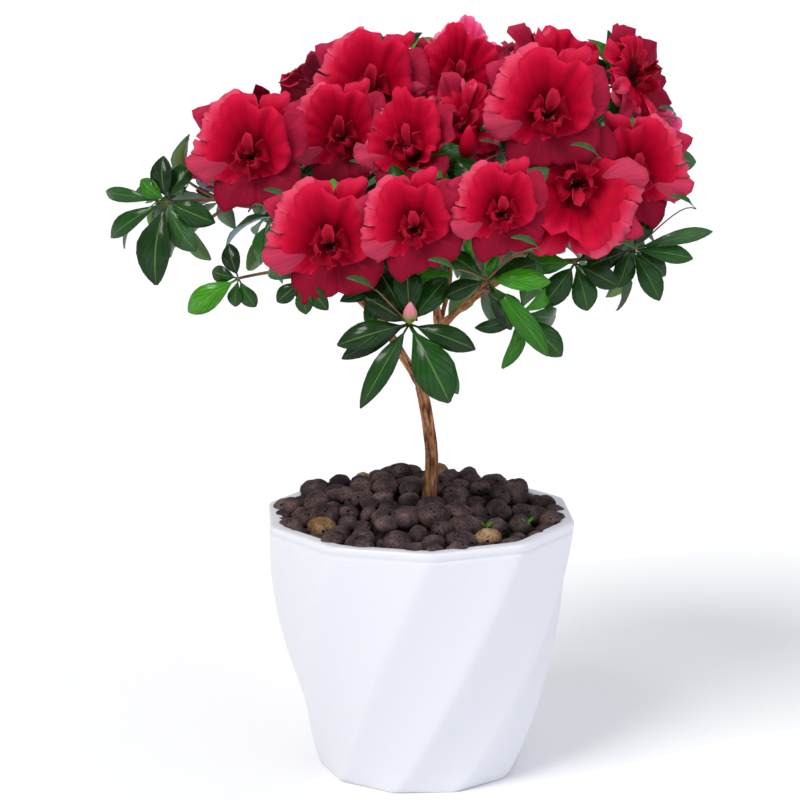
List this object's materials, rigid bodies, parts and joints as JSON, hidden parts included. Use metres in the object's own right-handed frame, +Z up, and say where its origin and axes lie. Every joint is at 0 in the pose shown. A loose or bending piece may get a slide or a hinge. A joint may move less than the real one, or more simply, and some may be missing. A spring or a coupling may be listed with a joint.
{
  "type": "azalea shrub",
  "caption": "Small flowering azalea shrub trained on one bare stem, with a wide crown of double crimson blossom and glossy leaves, in a white pot with twisted facets.",
  "frame": {"origin": "middle of the pot's flat underside, which stands on the ground", "axes": "+Z up along the pot's axis, -Y towards the front of the plant, +X to the right as seen from the front"},
  "size_m": [0.2756, 0.2279, 0.3606],
  "materials": {
    "pot_plastic": "smooth white moulded plastic with a soft gloss",
    "clay_pebbles": "dull dark brown fired clay, rough and finely pored",
    "bark": "thin tan bark that peels in long strips, greener towards the ground",
    "leaves": "dark green leaves with a waxy gloss and a pale midrib",
    "blossom_red": "soft crimson petals, darker in the middle of each flower",
    "blossom_pink": "soft bright pink petals"
  },
  "bodies": {
    "root": {"bough_back": "bark", "bough_back_left": "bark", "bough_back_right": "bark", "bough_centre": "bark", "bough_front": "bark", "bough_front_left": "bark", "bough_front_right": "bark", "bough_left": "bark", "bough_left_main": "bark", "bough_right_low": "bark", "bough_right_main": "bark", "bough_upper_right": "bark", "flowers_back_centre": "blossom_red", "flowers_back_left": "blossom_red", "flowers_back_left_centre": "blossom_red", "flowers_back_low_right": "blossom_red", "flowers_back_right": "blossom_pink", "flowers_back_right_centre": "blossom_red", "flowers_back_upper_centre": "blossom_pink", "flowers_back_upper_left": "blossom_red", "flowers_back_upper_right": "blossom_red", "flowers_centre_front": "blossom_red", "flowers_centre_right": "blossom_red", "flowers_front_centre": "blossom_red", "flowers_front_left": "blossom_red", "flowers_front_right": "blossom_red", "flowers_left": "blossom_red", "flowers_left_inner": "blossom_red", "flowers_right": "blossom_red", "flowers_right_front": "blossom_red", "flowers_right_upper": "blossom_red", "flowers_right_upper_front": "blossom_red", "flowers_top_centre": "blossom_red", "flowers_top_left": "blossom_red", "flowers_top_right": "blossom_red", "leaves_back_left_low": "leaves", "leaves_back_low": "leaves", "leaves_back_right_low": "leaves", "leaves_back_upper": "leaves", "leaves_front_left_low": "leaves", "leaves_front_low": "leaves", "leaves_front_right_low": "leaves", "leaves_left_back_tip": "leaves", "leaves_left_low": "leaves", "leaves_left_tip": "leaves", "leaves_right_low": "leaves", "leaves_right_tip": "leaves", "pebble_bed": "clay_pebbles", "pot": "pot_plastic", "stem": "bark"}
  },
  "joints": []
}
